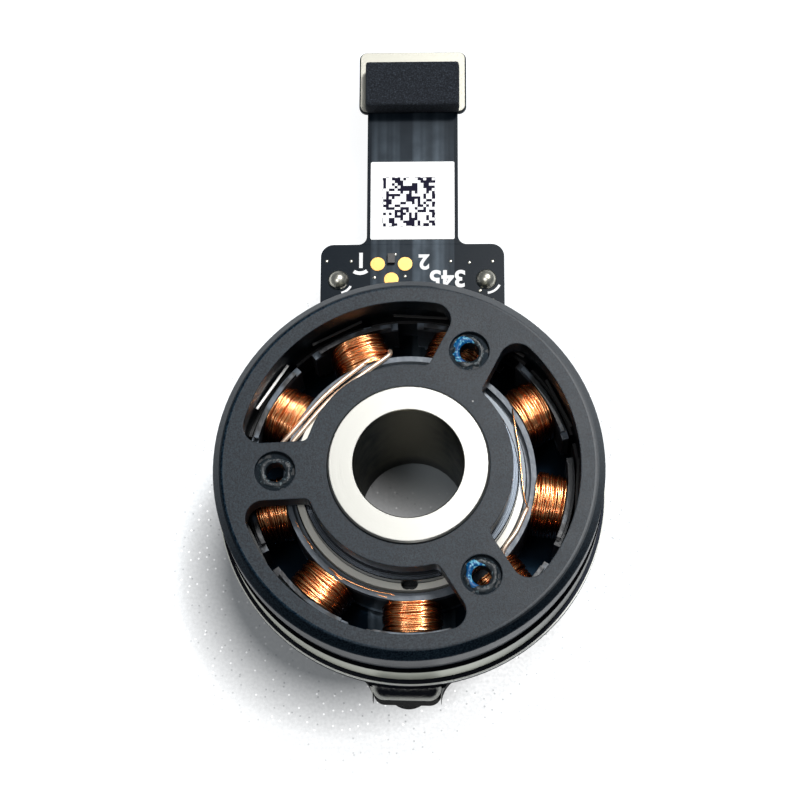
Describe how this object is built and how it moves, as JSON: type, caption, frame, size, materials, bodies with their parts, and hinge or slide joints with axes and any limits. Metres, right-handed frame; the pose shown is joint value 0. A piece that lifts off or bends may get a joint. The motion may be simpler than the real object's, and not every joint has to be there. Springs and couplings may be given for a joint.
{
  "type": "gimbal motor",
  "caption": "Small hollow shaft brushless gimbal motor: spoked black bell over copper coils, flat base with a stop lug, and a ribbon board with plug.",
  "frame": {"origin": "on the motor's axis, in the plane of the base's underside", "axes": "+Z along the axis of rotation towards the rotor's face, +Y towards the ribbon's plug, -Y towards the stop lug"},
  "size_m": [0.0258, 0.0465, 0.0133],
  "materials": {
    "black_anodised": "satin black anodised",
    "ring_steel": "turned, dull plated",
    "shaft_steel": "fine turned",
    "bearing_steel": "ground",
    "ball_steel": "polished",
    "cage_brass": "stamped",
    "base_black": "black coated",
    "sleeve_steel": "fine turned",
    "core_steel": "coated laminations",
    "clamp_steel": "dull plated",
    "insulator_grey": "epoxy powder coat",
    "copper_wire": "enamelled copper",
    "board_black": "glossy solder mask",
    "stiffener_dark": "matt",
    "rivet_tin": "tinned",
    "chip_black": "moulded",
    "pad_gold": "gold plated",
    "ribbon_black": "glossy cover film",
    "label_white": "coated",
    "end_steel": "stamped sheet",
    "foam_black": "foam with fine grain",
    "plug_plastic": "moulded",
    "magnet_black": "epoxy coated"
  },
  "bodies": {
    "stator": {"upper_outer_race": "bearing_steel", "lower_outer_race": "bearing_steel", "base_housing": "base_black", "bearing_sleeve": "sleeve_steel", "stator_core": "core_steel", "stator_clamp_ring": "clamp_steel", "insulator_top": "insulator_grey", "insulator_bottom": "insulator_grey", "link_wires": "copper_wire", "circuit_board": "board_black", "board_stiffener": "stiffener_dark", "board_rivets": "rivet_tin", "hall_sensors": "chip_black", "board_chip": "chip_black", "test_pads": "pad_gold", "ribbon": "ribbon_black", "code_label": "label_white", "end_plate": "end_steel", "foam_pad": "foam_black", "connector_body": "plug_plastic", "connector_contacts": "pad_gold", "coil_1": "copper_wire", "coil_2": "copper_wire", "coil_3": "copper_wire", "coil_4": "copper_wire", "coil_5": "copper_wire", "coil_6": "copper_wire", "coil_7": "copper_wire", "coil_8": "copper_wire", "coil_9": "copper_wire"},
    "rotor": {"rotor_bell": "black_anodised", "flux_ring": "ring_steel", "hollow_shaft": "shaft_steel", "lock_collar": "shaft_steel", "shim_washer": "shaft_steel", "race_spacer": "shaft_steel", "upper_inner_race": "bearing_steel", "lower_inner_race": "bearing_steel", "magnet_1": "magnet_black", "magnet_2": "magnet_black", "magnet_3": "magnet_black", "magnet_4": "magnet_black", "magnet_5": "magnet_black", "magnet_6": "magnet_black", "magnet_7": "magnet_black", "magnet_8": "magnet_black", "magnet_9": "magnet_black", "magnet_10": "magnet_black", "magnet_11": "magnet_black", "magnet_12": "magnet_black"},
    "upper_ball_set": {"upper_balls": "ball_steel", "upper_cage": "cage_brass"},
    "lower_ball_set": {"lower_balls": "ball_steel", "lower_cage": "cage_brass"}
  },
  "joints": [
    {"name": "rotor_spin", "type": "hinge", "parent": "stator", "child": "rotor", "pos_m": [0, 0, 0.0075], "axis": [0, 0, 1], "continuous": true},
    {"name": "upper_cage_spin", "type": "hinge", "parent": "stator", "child": "upper_ball_set", "pos_m": [0, 0, 0.00945], "axis": [0, 0, 1], "continuous": true},
    {"name": "lower_cage_spin", "type": "hinge", "parent": "stator", "child": "lower_ball_set", "pos_m": [0, 0, 0.00245], "axis": [0, 0, 1], "continuous": true}
  ],
  "couplings": [
    {"joint": "upper_cage_spin", "follows": "rotor_spin", "ratio": 0.45},
    {"joint": "lower_cage_spin", "follows": "rotor_spin", "ratio": 0.45}
  ]
}
